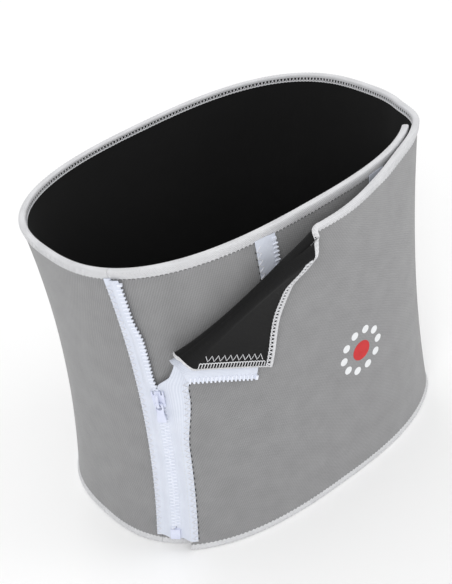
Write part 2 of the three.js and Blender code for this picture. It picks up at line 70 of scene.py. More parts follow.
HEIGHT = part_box("wrap_top_binding")[1].z / MM
HALF_WIDTH = (162, 148, 157)          # at the bottom, the waist and the top
HALF_DEPTH = (116, 112, 106)
LEAN = 12                             # the top ring stands this far forward, the bottom one back
SQUARENESS = 2.64                     # exponent of the torso's superellipse
ZIP_ANGLE = 214.6                     # degrees round the torso

LAMINATE = 3.5                        # thickness of lining, foam and jersey together
OVERLAP_DEPTH = 7.6                   # depth of the flap where it runs over the underlay
BINDING_STAND = 1                     # the edge binding stands this far off the sheet
EDGE = 1                              # from the belt's edge to the sheet's edge
SHEET_TOP = HEIGHT - EDGE
SEAM = -12                            # the underlay's seam to the wrap
UNDERLAY_END = 261
OVERLAP_END = (266, 306)              # past it the wrap sinks back to the torso, over this stretch
FLAP_EDGE = 11                        # the flap's cloth ends here, beside the zip
CHAIN_DEPTH = 7.6                     # depth of the closed teeth
SIZE_STEP = 105                       # from one size tape to the next

FOLD_START = (8, 203)                 # (s, z) at the zip edge
FOLD_END = (124, 280)                 # (s, z) at the top edge
FOLD_RADIUS = 3.5
TURN = -joints["fold_hinge"]["range_deg"][0]      # degrees turned at each crease
GAPE = 17                             # how far the flap's top edge stands off
GAPE_BOTTOM = 150                     # the flap starts to stand off at this height
ROOM_TOP = 168                        # top of the slider
ASIDE = 10                            # the flap's open edge is drawn aside by this much
SLACK = 6                             # and its cloth beside the slider by this much
PINCH = (0.1, 0.9)                    # how flat the roll is at the zip edge and the top edge
SAG = (5, 8)                          # how far the turned top edge sags, at the fold and beyond it
SAG_BOTTOM = 215                      # the sag starts at this height

# the bottom ring's back, where the binding stands on the sheet, places the torso
SHIFT = np.array([0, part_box("wrap_bottom_binding")[1].y / MM
                  - (HALF_DEPTH[0] + LEAN + LAMINATE + BINDING_STAND), 0])

# ---- Surfaces ------------------------------------------------------------------------


def smooth(x, low, high):
    """Runs from 0 at low to 1 at high, with no corner at either."""
    t = np.clip((x - low) / (high - low), 0, 1)
    return t * t * (3 - 2 * t)


def between(sizes, z):
    """The parabola in height through three sizes: bottom, waist and top."""
    bottom, waist, top = sizes
    u = z / HEIGHT
    return bottom * (1 - u) * (1 - 2 * u) + 4 * waist * u * (1 - u) + top * u * (2 * u - 1)


def ring(angle, z):
    """A point of the torso's surface, at that angle and height."""
    def power(v):
        return np.sign(v) * np.abs(v) ** (2 / SQUARENESS)
    x = between(HALF_WIDTH, z) * power(np.cos(angle))
    y = between(HALF_DEPTH, z) * power(np.sin(angle)) - LEAN * (2 * z / HEIGHT - 1)
    return np.stack([x, y, z + 0 * x], -1) + SHIFT


ring_angles = math.radians(ZIP_ANGLE) + np.linspace(-1, 2 * math.pi + 1, 7201)
ring_steps = np.linalg.norm(np.diff(ring(ring_angles, HEIGHT / 2), axis=0), axis=1)
ring_lengths = np.concatenate([[0], np.cumsum(ring_steps)])
ring_lengths -= np.interp(math.radians(ZIP_ANGLE), ring_angles, ring_lengths)
GIRTH = np.interp(math.radians(ZIP_ANGLE) + 2 * math.pi, ring_angles, ring_lengths)
WRAP_END = GIRTH + SEAM - 0.3         # just short of the seam, once round


def on_torso(s, z, d):
    """The point at the place (s, z, d), with no flap, fold or overlap."""
    s, z, d = np.broadcast_arrays(np.asarray(s, float), np.asarray(z, float), np.asarray(d, float))
    angle = np.interp(s, ring_lengths, ring_angles)
    along = ring(angle + 0.001, z) - ring(angle - 0.001, z)
    out = np.stack([along[..., 1], -along[..., 0], 0 * z], -1)
    out /= np.linalg.norm(out, axis=-1, keepdims=True)
    return ring(angle, z) + out * d[..., None]


def on_zip(line):
    """The surface round one zip line: a flat band along it, as the zip's parts lie."""
    def place(s, z, d):
        share = (np.asarray(s, float) + 12)[..., None] / 24
        return on_torso(line - 12, z, d) * (1 - share) + on_torso(line + 12, z, d) * share
    return place


def slackened(s, z):
    """How far the flap's cloth beside the slider is drawn aside."""
    up = smooth(z, 110, 165) * (1 - smooth(z, 180, 200))
    return SLACK * up * smooth(s, 6, 14) * (1 - smooth(s, 20, 110))


def outer(s, z, d):
    """The wrap and flap as they lie shut."""
    s, z, d = np.broadcast_arrays(np.asarray(s, float), np.asarray(z, float), np.asarray(d, float))
    aside = ASIDE * smooth(z, ROOM_TOP, 200) * (1 - smooth(s, FLAP_EDGE, 130))
    at = s + aside + slackened(s, z)
    gape = smooth(at, 10, FOLD_END[0]) * (1 - smooth(at, 140, 236))
    rise = np.clip((z - GAPE_BOTTOM) / (HEIGHT - GAPE_BOTTOM), 0, None)
    gape = GAPE * gape * rise ** 1.6
    deep = OVERLAP_DEPTH * (1 - smooth(at, *OVERLAP_END)) + gape
    return on_torso(at, z, d + deep)


# ---- The fold ------------------------------------------------------------------------

RUN_S = FOLD_END[0] - FOLD_START[0]
RUN_Z = FOLD_END[1] - FOLD_START[1]
ACROSS = math.hypot(RUN_S, RUN_Z) / RUN_Z     # s needed for 1 mm square to the fold
CREASE = math.pi / 4 * FOLD_RADIUS            # from the fold's middle to each crease
BEND = 2 * CREASE                             # the rolled cloth ends this far from the middle


def turned(points, axis, degrees):
    """Points turned about an axis, which is a point on it and its direction."""
    middle, direction = axis
    angle = np.radians(np.asarray(degrees, float))[..., None]
    arm = points - middle
    along = (arm @ direction)[..., None] * direction
    return (middle + arm * np.cos(angle) + np.cross(direction, arm) * np.sin(angle)
            + along * (1 - np.cos(angle)))


lower_axis = (np.array(joints["fold_hinge"]["pos_m"]) / MM, np.array(joints["fold_hinge"]["axis"]))
resting = (np.array(joints["corner_hinge"]["pos_m"]) / MM, np.array(joints["corner_hinge"]["axis"]))
# the upper crease as it lies in the shut flap, before the lower one turns it
origin = turned(resting[0], lower_axis, -TURN)
upper_axis = (origin, turned(resting[0] + resting[1], lower_axis, -TURN) - origin)


def fold_side(s, z):
    """Distance from the fold's middle line, square to it: negative towards the corner."""
    return (s - FOLD_START[0] - RUN_S * (z - FOLD_START[1]) / RUN_Z) / ACROSS


def folded(s, z, d):
    """The flap turned about both creases. Its top edge sags along the fold and on the corner."""
    side = fold_side(s, z)
    high = smooth(z, SAG_BOTTOM, HEIGHT)
    at_fold = smooth(s, 50, 112) * (1 - smooth(s, 128, 190))
    on_corner = smooth(s, FLAP_EDGE, 60) * (1 - smooth(s, 80, FOLD_END[0])) * smooth(-side, BEND, 22)
    slide = SAG[0] * high * at_fold / math.hypot(RUN_S, RUN_Z)
    bow = SAG[1] * high * on_corner
    points = outer(s - slide * RUN_S, z - slide * RUN_Z - bow, d)
    points = turned(points, upper_axis, TURN * smooth(-side, 0, BEND))
    return turned(points, lower_axis, TURN * smooth(BEND - side, 0, BEND))


def flap(s, z, d):
    """The wrap and flap as they rest: the roll is pinched where the fold meets the edges."""
    s, z, d = np.broadcast_arrays(np.asarray(s, float), np.asarray(z, float), np.asarray(d, float))
    side = fold_side(s, z)
    along = (z - FOLD_START[1]) / RUN_Z
    pinch = PINCH[0] * (1 - smooth(along, 0, 0.55)) + PINCH[1] * smooth(along, 0.7, 1)
    pinch = pinch * np.cos(np.clip(side / BEND, -1, 1) * math.pi / 2) ** 2
    middle = s - side * ACROSS
    ends = folded(middle + BEND * ACROSS, z, d) + folded(middle - BEND * ACROSS, z, d)
    return folded(s, z, d) * (1 - pinch[..., None]) + ends / 2 * pinch[..., None]


# ---- Materials -----------------------------------------------------------------------


def linear(value):
    """An sRGB value from 0 to 255 as linear light."""
    v = value / 255
    return v / 12.92 if v <= 0.04045 else ((v + 0.055) / 1.055) ** 2.4


def colour(*values):
    """A colour with full alpha, from sRGB values from 0 to 255."""
    return (*[linear(v) for v in values], 1)


class Nodes:
    """A small helper that adds and joins the nodes of one material."""

    def __init__(self, name, roughness, place="UV", **settings):
        self.material = bpy.data.materials.new(name)
        self.material.use_nodes = True
        self.tree = self.material.node_tree
        self.shader = self.tree.nodes["Principled BSDF"]
        self.shader.inputs["Roughness"].default_value = roughness
        for key, value in settings.items():
            self.shader.inputs[key.replace("_", " ")].default_value = value
        self.coordinates = self.add("ShaderNodeTexCoord").outputs[place]

    def add(self, kind, **settings):
        node = self.tree.nodes.new(kind)
        for key, value in settings.items():
            setattr(node, key, value)
        return node

    def put(self, value, socket):
        """Gives a socket a value, or links it where the value is another node's socket."""
        if isinstance(value, bpy.types.NodeSocket):
            self.tree.links.new(value, socket)
        else:
            socket.default_value = value

    def noise(self, scale, detail=3):
        """Noise with that many spots to a metre."""
        node = self.add("ShaderNodeTexNoise")
        node.inputs["Scale"].default_value = scale
        node.inputs["Detail"].default_value = detail
        self.put(self.coordinates, node.inputs["Vector"])
        return node.outputs["Fac"]

    def wave(self, pitch, degrees, distortion=0.0):
        """Ribs of that pitch in metres, whose lines lean that far from upright."""
        mapping = self.add("ShaderNodeMapping")
        mapping.inputs["Rotation"].default_value = (0, 0, math.radians(degrees))
        self.put(self.coordinates, mapping.inputs["Vector"])
        node = self.add("ShaderNodeTexWave", wave_type="BANDS", bands_direction="X")
        node.inputs["Scale"].default_value = math.pi / 10 / pitch
        node.inputs["Distortion"].default_value = distortion
        node.inputs["Detail"].default_value = 1
        node.inputs["Detail Scale"].default_value = 2
        self.put(mapping.outputs["Vector"], node.inputs["Vector"])
        return node.outputs["Fac"]

    def math(self, operation, a, b):
        node = self.add("ShaderNodeMath", operation=operation)
        self.put(a, node.inputs[0])
        self.put(b, node.inputs[1])
        return node.outputs[0]

    def blend(self, value, low, high, target="Base Color"):
        """Runs the target from low to high as the value runs from 0 to 1."""
        if target == "Base Color":
            node = self.add("ShaderNodeMix", data_type="RGBA")
            self.put(value, node.inputs[0])
            self.put(low, node.inputs[6])
            self.put(high, node.inputs[7])
            result = node.outputs[2]
        else:
            node = self.add("ShaderNodeMapRange")
            self.put(value, node.inputs["Value"])
            self.put(low, node.inputs["To Min"])
            self.put(high, node.inputs["To Max"])
            result = node.outputs["Result"]
        self.put(result, self.shader.inputs[target])

    def bump(self, value, distance):
        """Raises the surface by up to that distance in metres, and ends the material."""
        node = self.add("ShaderNodeBump")
        node.inputs["Strength"].default_value = 1
        node.inputs["Distance"].default_value = distance
        self.put(value, node.inputs["Height"])
        self.put(node.outputs["Normal"], self.shader.inputs["Normal"])
        return self.material


def cloth_material(name, low, high, pitch, lean, roughness, sheen, relief):
    """A knitted or woven cloth: ribs and cross ribs, mottled with noise."""
    n = Nodes(name, roughness, Sheen_Weight=sheen, Sheen_Roughness=0.5, Specular_IOR_Level=0.25)
    ribs = n.wave(pitch, lean, 0.6)
    loops = n.wave(pitch * 0.8, lean - 78, 0.8)
    weave = n.math("ADD", n.math("MULTIPLY", ribs, 0.6), n.math("MULTIPLY", loops, 0.4))
    mottle = n.math("MULTIPLY", n.noise(60, 5), 0.5)
    n.blend(n.math("ADD", mottle, n.math("MULTIPLY", weave, 0.5)), low, high)
    n.blend(n.noise(900, 2), roughness - 0.08, roughness + 0.06, "Roughness")
    fuzz = n.math("MULTIPLY", n.noise(2400, 2), 0.5)
    return n.bump(n.math("ADD", weave, fuzz), relief)


def plastic_material(name, low, high, roughness, relief, **settings):
    """A moulded plastic, mottled in the piece's own space, as the CAD's meshes have no UVs."""
    n = Nodes(name, roughness, "Object", **settings)
    n.blend(n.noise(160, 3), low, high)
    n.blend(n.noise(420, 2), roughness - 0.06, roughness + 0.1, "Roughness")
    return n.bump(n.noise(900, 3), relief)


jersey = cloth_material(
    "grey_jersey", colour(112, 112, 113), colour(150, 150, 151), 0.0017, 24, 0.88, 0.25, 0.00022)
lining = cloth_material(
    "black_lining", colour(9, 9, 9), colour(20, 20, 21), 0.0012, 0, 0.85, 0.03, 0.00010)
foam = cloth_material(
    "black_foam", colour(20, 20, 21), colour(38, 38, 40), 0.0009, 40, 0.95, 0.0, 0.00012)
binding = cloth_material(
    "white_overlock", colour(186, 187, 190), colour(232, 232, 234), 0.0011, 30, 0.8, 0.2, 0.00035)
tape = cloth_material(
    "white_zip_tape", colour(190, 196, 210), colour(226, 230, 240), 0.0010, 0, 0.75, 0.2, 0.00014)
thread = cloth_material(
    "white_thread", colour(200, 201, 205), colour(236, 236, 238), 0.0007, 45, 0.7, 0.15, 0.00010)
teeth_plastic = plastic_material(
    "white_tooth_plastic", colour(210, 215, 228), colour(232, 235, 244), 0.36, 0.00004)
enamel = plastic_material(
    "white_enamel", colour(192, 197, 220), colour(222, 226, 241), 0.3, 0.00003,
    Coat_Weight=0.3, Coat_Roughness=0.2)
red_print = plastic_material(
    "red_print", colour(176, 24, 28), colour(204, 34, 38), 0.6, 0.00006)
pale_print = plastic_material(
    "pale_print", colour(214, 216, 218), colour(230, 231, 233), 0.6, 0.00006)

# ---- Meshes --------------------------------------------------------------------------


def build(name, points, faces, materials, uv, slots=None, crease=40):
    """One object from points in millimetres, faces and a (u, v) in millimetres per point."""
    mesh = bpy.data.meshes.new(name)
    mesh.from_pydata((np.asarray(points, float) * MM).tolist(), [], [list(map(int, f)) for f in faces])
    for material in materials:
        mesh.materials.append(material)
    if slots is not None:
        mesh.polygons.foreach_set("material_index", np.asarray(slots, np.int32))
    corners = np.empty(len(mesh.loops), np.int32)
    mesh.loops.foreach_get("vertex_index", corners)
    layer = mesh.uv_layers.new(name="UVMap")
    layer.data.foreach_set("uv", (np.asarray(uv, float) * MM)[corners].astype(np.float32).ravel())
    mesh.shade_smooth()
    mesh.set_sharp_from_angle(angle=math.radians(crease))
    mesh.validate()
    obj = bpy.data.objects.new(name, mesh)
    bpy.context.scene.collection.objects.link(obj)
    return obj


def closed_sheet(near, far, s, z):
    """A closed sheet between two grids of points, as points, faces, (u, v) and slots."""
    rows, columns = near.shape[:2]
    count = rows * columns
    grid = np.arange(count).reshape(rows, columns)
    quads = np.stack([grid[:-1, :-1], grid[:-1, 1:], grid[1:, 1:], grid[1:, :-1]], -1).reshape(-1, 4)
    border = np.concatenate([grid[0], grid[1:, -1], grid[-1, -2::-1], grid[-2:0:-1, 0]])
    after = np.roll(border, -1)
    rim = np.stack([border, after, after + count, border + count], -1)
    points = np.concatenate([near.reshape(-1, 3), far.reshape(-1, 3)])
    faces = np.concatenate([quads + count, quads[:, ::-1], rim])
    uv = np.stack([s.ravel(), z.ravel()], -1)
    slots = [0] * len(quads) + [1] * len(quads) + [2] * len(rim)
    return points, faces, np.concatenate([uv, uv]), slots


def cloth(name, place, s, z):
    """A piece of the laminate: jersey outside, lining inside and foam at the rim."""
    points, faces, uv, slots = closed_sheet(place(s, z, 0), place(s, z, LAMINATE), s, z)
    return build(name, points, faces, [jersey, lining, foam], uv, slots)


SEWN_CREASE = 60                      # degrees: sewn and moulded details are smooth up to this


class Sewing:
    """Points and faces gathered for one kind of sewn or moulded detail."""

    def __init__(self):
        self.points = []
        self.faces = []
        self.uv = []
        self.where = []               # (s, z) of each point
        self.count = 0

    def take(self, points, faces, uv, where):
        """Adds a part, whose faces count its own points from 0."""
        self.faces.append(np.asarray(faces) + self.count)
        self.points.append(points)
        self.uv.append(uv)
        self.where.append(where)
        self.count += len(points)

    def strip(self, place, s, z, low, high):
        """A closed strip over the grid s, z between the depths low and high."""
        points, faces, uv, _ = closed_sheet(place(s, z, low), place(s, z, high), s, z)
        self.take(points, faces, uv, uv)

    def thread(self, place, s, z, d, radius, sides=6):
        """A thread along the path (s, z, d)."""
        s, z, d = [np.asarray(v, float) for v in np.broadcast_arrays(s, z, d)]
        middle = place(s, z, d)
        out = place(s, z, d + 1) - place(s, z, d - 1)
        along = np.gradient(middle, axis=0)
        aside = np.cross(along, out)
        aside /= np.linalg.norm(aside, axis=1, keepdims=True) + 1e-9
        out = np.cross(aside, along)
        out /= np.linalg.norm(out, axis=1, keepdims=True) + 1e-9
        turn = np.arange(sides) * 2 * math.pi / sides
        rings = (middle[:, None] + radius * (np.cos(turn)[None, :, None] * aside[:, None]
                                             + np.sin(turn)[None, :, None] * out[:, None]))
        length = len(s)
        grid = np.arange(length * sides).reshape(length, sides)
        beside = np.roll(grid, -1, axis=1)
        quads = np.stack([grid[:-1], beside[:-1], beside[1:], grid[1:]], -1).reshape(-1, 4)
        run = np.concatenate([[0], np.cumsum(np.linalg.norm(np.diff(middle, axis=0), axis=1))])
        uv = np.stack([np.repeat(run, sides), np.tile(np.arange(sides) * radius, length)], -1)
        where = np.stack([np.repeat(s, sides), np.repeat(z, sides)], -1)
        self.take(rings.reshape(-1, 3), quads, uv, where)

    def arrays(self):
        return [np.concatenate(x) for x in (self.points, self.faces, self.uv, self.where)]

    def object(self, name, material):
        points, faces, uv, _ = self.arrays()
        return build(name, points, faces, [material], uv, crease=SEWN_CREASE)


# ---- Bodies --------------------------------------------------------------------------

ROLLS = 5                             # the rolled cloth is cut into this many lengths
MARGIN = 0.2                          # share of each bend set in from each of its ends
T_LOW = (FLAP_EDGE - FOLD_START[0] - BEND * ACROSS) / RUN_S
T_HIGH = (SHEET_TOP - FOLD_START[1]) / RUN_Z


def roll_ends(length, crease):
    """Start and end points, in metres, of the bend of one length of one crease."""
    t = T_LOW + (T_HIGH - T_LOW) * (length + 0.5) / ROLLS
    z = FOLD_START[1] + RUN_Z * t
    s = FOLD_START[0] + RUN_S * t
    sides = (BEND, 0) if crease == "lower" else (0, -BEND)
    along = (lower_axis if crease == "lower" else resting)[1]
    start, end = [flap(s + side * ACROSS, z, LAMINATE / 2) for side in sides]
    step = end - start
    step -= along * (step @ along)
    return Vector((start + MARGIN * step) * MM), Vector((start + (1 - MARGIN) * step) * MM)


def bend(piece, length, crease):
    """Bakes a piece of the roll in place; the ends of its crease's bend are worked out but not used."""
    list(roll_ends(length, crease))
    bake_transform(piece)


def on_flap(name, sewing, material):
    """Cuts a detail of the flap where it crosses the fold, one object for each body."""
    points, faces, uv, where = sewing.arrays()
    side = fold_side(where[:, 0], where[:, 1])[faces].mean(1)
    length = (where[:, 1][faces].mean(1) - FOLD_START[1]) / RUN_Z
    length = np.clip((length - T_LOW) / (T_HIGH - T_LOW) * ROLLS, 0, ROLLS - 1).astype(int)
    groups = {f"{name}_wrap": side >= BEND, f"{name}_corner": side <= -BEND}
    for k in range(ROLLS):
        groups[f"{name}_roll_lower_{k + 1}"] = (side < BEND) & (side >= 0) & (length == k)
        groups[f"{name}_roll_upper_{k + 1}"] = (side > -BEND) & (side < 0) & (length == k)
    made = {}
    for title, chosen in groups.items():
        if not chosen.any():
            continue
        used, index = np.unique(faces[chosen], return_inverse=True)
        piece = build(title, points[used], index.reshape(-1, 4), [material], uv[used], crease=SEWN_CREASE)
        if "_roll_" in title:
            bend(piece, int(title[-1]) - 1, title.split("_")[-2])
        else:
            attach(piece, title.split("_")[-1])
        made[title] = piece
    return made


def on_wrap(name, sewing, material, slot, *nodes):
    """Makes a detail that rides on the wrap, and that stands for those CAD nodes if any."""
    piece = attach(sewing.object(name, material), "wrap")
    if nodes:
        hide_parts(*nodes)


# ---- Cloth ---------------------------------------------------------------------------

FOLD_COLUMNS = 60
WRAP_ROWS = 90
ROLL_COLUMNS = 10

# the wrap: its columns stop at the fold, and its first ones meet the rolled cloth's rows
fold_share = np.linspace(0, 1, FOLD_COLUMNS + 1)
t_crease = T_LOW + (T_HIGH - T_LOW) * fold_share
s_crease = FOLD_START[0] + BEND * ACROSS + RUN_S * t_crease
s_beyond = np.linspace(s_crease[-1], WRAP_END, 126)[1:]
wrap_s = np.concatenate([s_crease, s_beyond])
wrap_top = np.concatenate([FOLD_START[1] + RUN_Z * t_crease, np.full(len(s_beyond), SHEET_TOP)])
row_share = np.linspace(0, 1, WRAP_ROWS + 1)[:, None]
wrap_z = EDGE + row_share * (wrap_top[None] - EDGE)
wrap_cloth = cloth("wrap_cloth", flap, wrap_s[None] + 0 * wrap_z, wrap_z)
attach(wrap_cloth, "wrap")
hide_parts("wrap_lining", "wrap_core", "wrap_face")


def roll_grid(sides, shares):
    """The (s, z) grid of the rolled cloth, from the zip edge to the top edge."""
    start = (FLAP_EDGE - FOLD_START[0] - sides[None] * ACROSS) / RUN_S
    t = start + (T_HIGH - start) * shares[:, None]
    return FOLD_START[0] + RUN_S * t + sides[None] * ACROSS, FOLD_START[1] + RUN_Z * t


for k in range(ROLLS):
    shares = np.linspace(k / ROLLS, (k + 1) / ROLLS, FOLD_COLUMNS // ROLLS + 1)
    for crease, ends in (("lower", (0, BEND)), ("upper", (-BEND, 0))):
        s, z = roll_grid(np.linspace(*ends, ROLL_COLUMNS + 1), shares)
        roll = cloth(f"fold_cloth_{crease}_{k + 1}", flap, s, z)
        bend(roll, k, crease)
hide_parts("fold_lining", "fold_core", "fold_face")

t_corner = (FLAP_EDGE - FOLD_START[0] + BEND * ACROSS) / RUN_S
t_rows = t_corner + (T_HIGH - t_corner) * fold_share
corner_right = FOLD_START[0] + RUN_S * t_rows - BEND * ACROSS
corner_right[0] += 0.3
corner_share = np.linspace(0, 1, 25)
corner_s = FLAP_EDGE + corner_share[None] * (corner_right[:, None] - FLAP_EDGE)
corner_z = FOLD_START[1] + RUN_Z * t_rows[:, None] + 0 * corner_s
corner_cloth = cloth("corner_cloth", flap, corner_s, corner_z)
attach(corner_cloth, "corner")
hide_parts("corner_lining", "corner_core", "corner_face")

under_s, under_z = np.meshgrid(np.linspace(SEAM, UNDERLAY_END, 61), np.linspace(EDGE, SHEET_TOP, 61))
underlay_cloth = cloth("underlay_cloth", on_torso, under_s, under_z)
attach(underlay_cloth, "wrap")
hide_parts("underlay_lining", "underlay_core", "underlay_face")

# ---- Overlocked edges ----------------------------------------------------------------

STITCH = 3.1                          # pitch of the edge stitching
COLUMNS_PER_STITCH = 4
EDGE_SECTION = [                      # (depth, distance from the edge) round the edge
    (-0.9, 2.6), (-1.0, 1.3), (-0.6, 0.35), (0.6, 0.0), (1.8, -0.05), (3.1, 0.0), (4.1, 0.4),
    (4.5, 1.4), (4.45, 3.0), (4.3, 4.6), (4.1, 6.0), (3.6, 7.0)]
TOP_LEG = 7                           # how far the top edges' band reaches down
FLAP_LEG = ((95, 110, 132, 200), (7, 4, 4, 7))    # less at the fold: places s, and reach there
BOTTOM_LEG = 4.6
UPRIGHT_DEPTH = 3.6                   # an upright edge's band stays below the zip tape over it
LADDER_LEG = 6                        # how far the top edges' rungs reach down the lining
UNDER = -0.35                         # depth of the ladders, just proud of the lining
RUNG = 2.5                            # the ladders' shortest rung, and their pitch on the zip edge


def overlock(sewing, place, start, stop, leg, edge, sign, upright=False):
    """The dense stitched band outside and over an edge that runs along s, or upright."""
    count = int((stop - start) / STITCH * COLUMNS_PER_STITCH)
    s = np.linspace(start, stop, count + 1)
    wave = 0.5 + 0.5 * np.cos(s / STITCH * 2 * math.pi)
    depth, drop = np.array(EDGE_SECTION, float).T
    if upright:                       # the tape lies over the outside of an upright edge
        depth = np.minimum(depth, UPRIGHT_DEPTH)
    leg = np.interp(s, *leg) if isinstance(leg, tuple) else leg + 0 * s
    drop = drop[:, None] * np.where(drop[:, None] > 1.4, leg[None] / TOP_LEG, 1)
    drop = drop + np.where(drop > 0.75 * leg[None], 1.3 * wave[None], 0)
    ripple = 0.3 * np.cos(s[None] / STITCH * 2 * math.pi + 2.2 * drop)
    depth = depth[:, None] + ripple * np.where(depth[:, None] > 2, 1, 0.4)
    z = edge - sign * drop
    s = s[None] + 0 * z
    middle = LAMINATE / 2
    inside = middle + (depth - middle) * 0.6
    rows = slice(None) if sign > 0 else slice(None, None, -1)
    points, faces, uv, _ = closed_sheet(
        place(s, z + sign * -0.3, inside)[rows], place(s, z, depth)[rows], s[rows], drop[rows])
    where = [z[rows].ravel(), s[rows].ravel()] if upright else [s[rows].ravel(), z[rows].ravel()]
    where = np.stack(where, -1)
    sewing.take(points, faces, uv, np.concatenate([where, where]))


def ladder(sewing, place, start, stop, leg, edge, sign):
    """The open stitches on the lining: slanted rungs between the edge and an inner rail."""
    def reach(s):
        """The ladder narrows to a point where the fold cuts across it."""
        side = fold_side(s, edge)
        free = np.clip((-BEND - side) * ACROSS * RUN_Z / RUN_S, 0, leg)
        return np.where((side > BEND) | (place is not flap), leg, free)

    for s0 in np.arange(start + STITCH / 2, stop - STITCH / 2, STITCH):
        if reach(s0) < RUNG:
            continue                  # no rungs show in the roll
        for lean in (-1, 1):
            run = np.array([0, 0.5, 1])
            s = s0 + lean * STITCH * 0.42 * (run - 0.3)
            z = edge - sign * (1.2 + run * (reach(s0) - 1.2))
            sewing.thread(place, s, z, UNDER, 0.38, 5)
    rail = np.arange(start, stop, STITCH / 2)
    rail = rail[reach(rail) > RUNG]
    for s in np.split(rail, np.nonzero(np.diff(rail) > STITCH)[0] + 1):
        wobble = 0.25 * np.where(np.arange(len(s)) % 2, 1, -1)
        if len(s) > 2:
            sewing.thread(place, s, edge - sign * (reach(s) + wobble), UNDER, 0.5)


top_band = Sewing()
overlock(top_band, flap, FLAP_EDGE - 0.5, WRAP_END, FLAP_LEG, HEIGHT, 1)
top_bands = on_flap("top_edge_band", top_band, binding)
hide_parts("wrap_top_binding")
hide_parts("corner_binding")
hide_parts("fold_binding")
top_ladder = Sewing()
ladder(top_ladder, flap, FLAP_EDGE, WRAP_END, LADDER_LEG, HEIGHT, 1)
on_flap("top_edge_ladder", top_ladder, thread)

for title, place, start, stop in (
        ("wrap_bottom", flap, FLAP_EDGE, WRAP_END),
        ("underlay_bottom", on_torso, SEAM, UNDERLAY_END)):
    band = Sewing()
    overlock(band, place, start, stop, BOTTOM_LEG, 0, -1)
    on_wrap(f"{title}_edge_band", band, binding, "binding", f"{title}_binding")
    rungs = Sewing()
    ladder(rungs, place, start, stop, BOTTOM_LEG, 0, -1)
    on_wrap(f"{title}_edge_ladder", rungs, thread, "binding")

under_band = Sewing()
overlock(under_band, on_torso, SEAM, UNDERLAY_END, TOP_LEG, HEIGHT, 1)
on_wrap("underlay_top_edge_band", under_band, binding, "binding", "underlay_top_binding")
under_ladder = Sewing()
ladder(under_ladder, on_torso, SEAM, UNDERLAY_END, LADDER_LEG, HEIGHT, 1)
on_wrap("underlay_top_edge_ladder", under_ladder, thread, "binding")

# dark needle holes just below the band, on the outside
pricks = Sewing()
for s0 in np.arange(SEAM + 2, UNDERLAY_END - 2, STITCH / 2):
    s = s0 + np.array([-0.3, 0, 0.3])
    pricks.thread(on_torso, s, HEIGHT - TOP_LEG - 0.7, LAMINATE + np.array([0, 0.25, 0]), 0.33, 5)
on_wrap("underlay_top_edge_holes", pricks, lining, "lining")


def upright(place):
    """The same surface with its first two places exchanged, for edges that run up."""
    return lambda z, s, d: place(s, z, d)


end_band = Sewing()
overlock(end_band, upright(on_torso), EDGE, SHEET_TOP, TOP_LEG, UNDERLAY_END + 1, 1, upright=True)
on_wrap("underlay_end_band", end_band, binding, "binding", "underlay_end_binding")

# the flap's zip edge: rungs over the cloth's edge on the lining
zip_edge = Sewing()
ROLL_BOTTOM = 190                     # below this height the zip edge lies on the wrap
ROLL_TOP = 214                        # above this height it lies on the corner
ZIP_LEG = 4.2                         # how far its rungs reach across the lining
for low, high in ((12, ROLL_BOTTOM), (ROLL_TOP, HEIGHT - 8)):
    for z0 in np.arange(low, high, RUNG):
        run = np.linspace(0, 1, 4)
        zip_edge.thread(flap, FLAP_EDGE - 0.2 + ZIP_LEG * run, z0 + 0.5 * run, UNDER, 0.34, 5)
    up_edge = np.arange(low, high, RUNG / 2)
    wobble = np.where(np.arange(len(up_edge)) % 2, 0.2, -0.2)
    zip_edge.thread(flap, FLAP_EDGE + ZIP_LEG + wobble, up_edge, UNDER, 0.45)
on_flap("zip_edge_ladder", zip_edge, thread)
zip_band = Sewing()
overlock(zip_band, upright(flap), 8, HEIGHT - 1, 2.6, FLAP_EDGE - 0.8, -1, upright=True)
on_flap("zip_edge_band", zip_band, binding)

# ---- Zip tapes -----------------------------------------------------------------------

TAPE_HALF = 0.3                       # half the tape's thickness
TAPE_BOTTOM = 9.3
TAPE_TOP = HEIGHT - 9.3
ZIGZAG_PITCH = 6                      # of the stitch that sews the tape down
ZIGZAG = (12.4, 16.4)                 # its reach, from the zip line
HOLES = 16.5                          # the needle holes' distance from the zip line
LINING_SEAM = (16.5, 21)              # the zigzag on the lining, which holds the same tape
LINING_PITCH = 5.4


def tape_grid(line, rows):
    """Columns of a tape along its (s, d) line, evenly between the line's points."""
    line = np.array(line, float)
    run = np.concatenate([[0], np.cumsum(np.linalg.norm(np.diff(line, axis=0), axis=1))])
    at = np.linspace(0, run[-1], 15)
    s = np.interp(at, run, line[:, 0])
    d = np.interp(at, run, line[:, 1])
    d = np.convolve(np.pad(d, 2, mode="edge"), np.ones(5) / 5, mode="valid")
    return s[None] + 0 * rows[:, None], rows[:, None] + 0 * s[None], d[None] + 0 * rows[:, None]


def zigzag(sewing, place, s_low, s_high, z_low, z_high, depth, pitch, radius, rise=0.3):
    """A zigzag stitch that runs up z between two places across."""
    legs = int((z_high - z_low) / pitch * 2)
    step = np.arange(legs * 3 + 1)
    leg = step / 3
    share = np.abs((leg % 2) - 1)
    lift = np.array([0, rise, rise])[step % 3]
    z = z_low + leg * pitch / 2
    sewing.thread(place, s_low + (s_high - s_low) * share, z, depth + lift, radius, 5)


def holes(sewing, place, s0, z_low, z_high, depth):
    """The dark needle holes along a sewn edge, where the black under-thread shows."""
    for z0 in np.arange(z_low, z_high, ZIGZAG_PITCH):
        z = z0 + np.array([-0.6, 0, 0.6])
        sewing.thread(place, s0 + 0 * z, z, depth + np.array([-0.1, 0.25, -0.1]), 0.42, 5)


def parted(z):
    """Above the slider the first tape's teeth stand aside, and more so near the top."""
    return -1.5 * smooth(z, ROOM_TOP - 3, ROOM_TOP + 12) - 3 * smooth(z, 214, 238)


